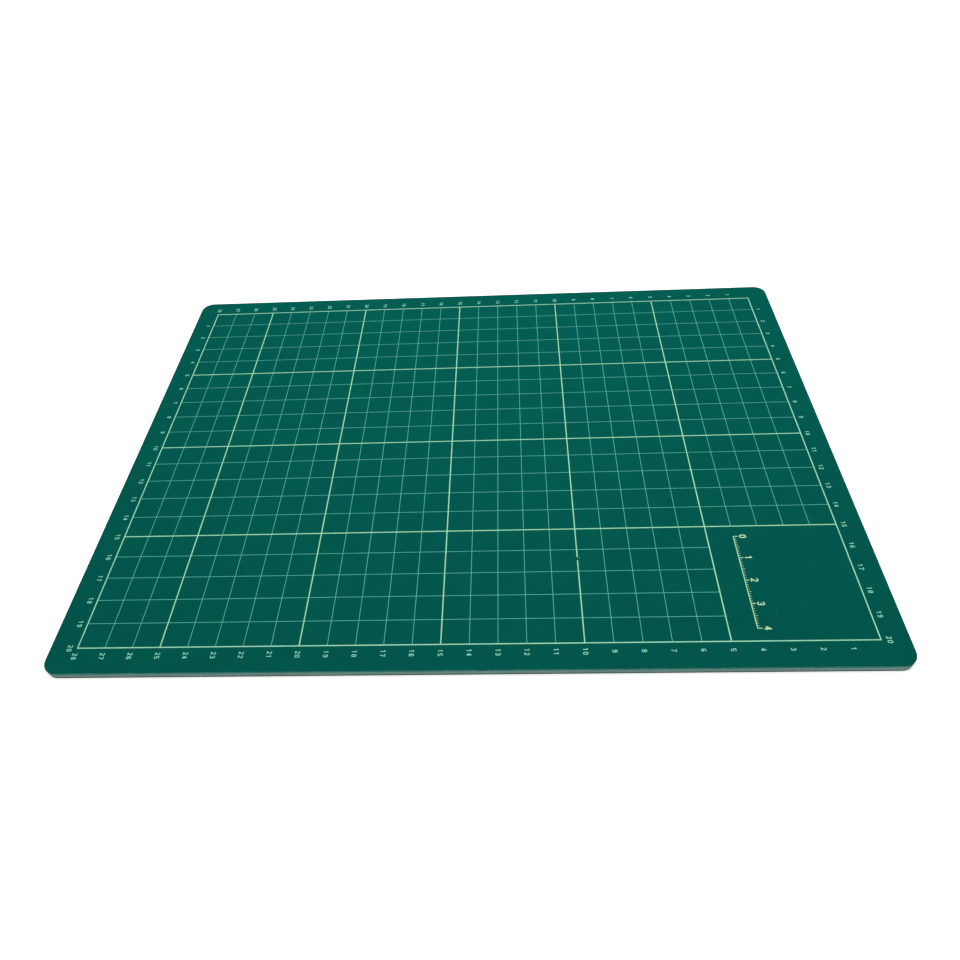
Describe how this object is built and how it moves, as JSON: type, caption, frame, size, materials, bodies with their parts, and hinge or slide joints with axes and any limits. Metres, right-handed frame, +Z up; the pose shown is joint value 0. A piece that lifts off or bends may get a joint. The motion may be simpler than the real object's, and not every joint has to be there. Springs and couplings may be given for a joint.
{
  "type": "cutting mat",
  "caption": "Flat flexible craft cutting mat with rounded corners, a printed centimetre grid, numbered sides and a blank square field with a small scale.",
  "frame": {"origin": "centre of the mat's underside, on the surface that it lies on", "axes": "+X along the mat's length, the blank field at its +X end; +Y from the front edge to the back edge; +Z up through the printed face"},
  "size_m": [0.3, 0.22, 0.003],
  "materials": {
    "skin": "matt calendered soft PVC",
    "core": "cut edge of a hard plastic sheet",
    "ink": "matt screen-printed ink"
  },
  "bodies": {
    "root": {"lower_skin": "skin", "core_sheet": "core", "upper_skin": "skin", "print_frame_line": "ink", "print_heavy_lines": "ink", "print_fine_lines": "ink", "print_numbers_front": "ink", "print_numbers_back": "ink", "print_numbers_left": "ink", "print_numbers_right": "ink", "print_field_scale": "ink"}
  },
  "joints": []
}
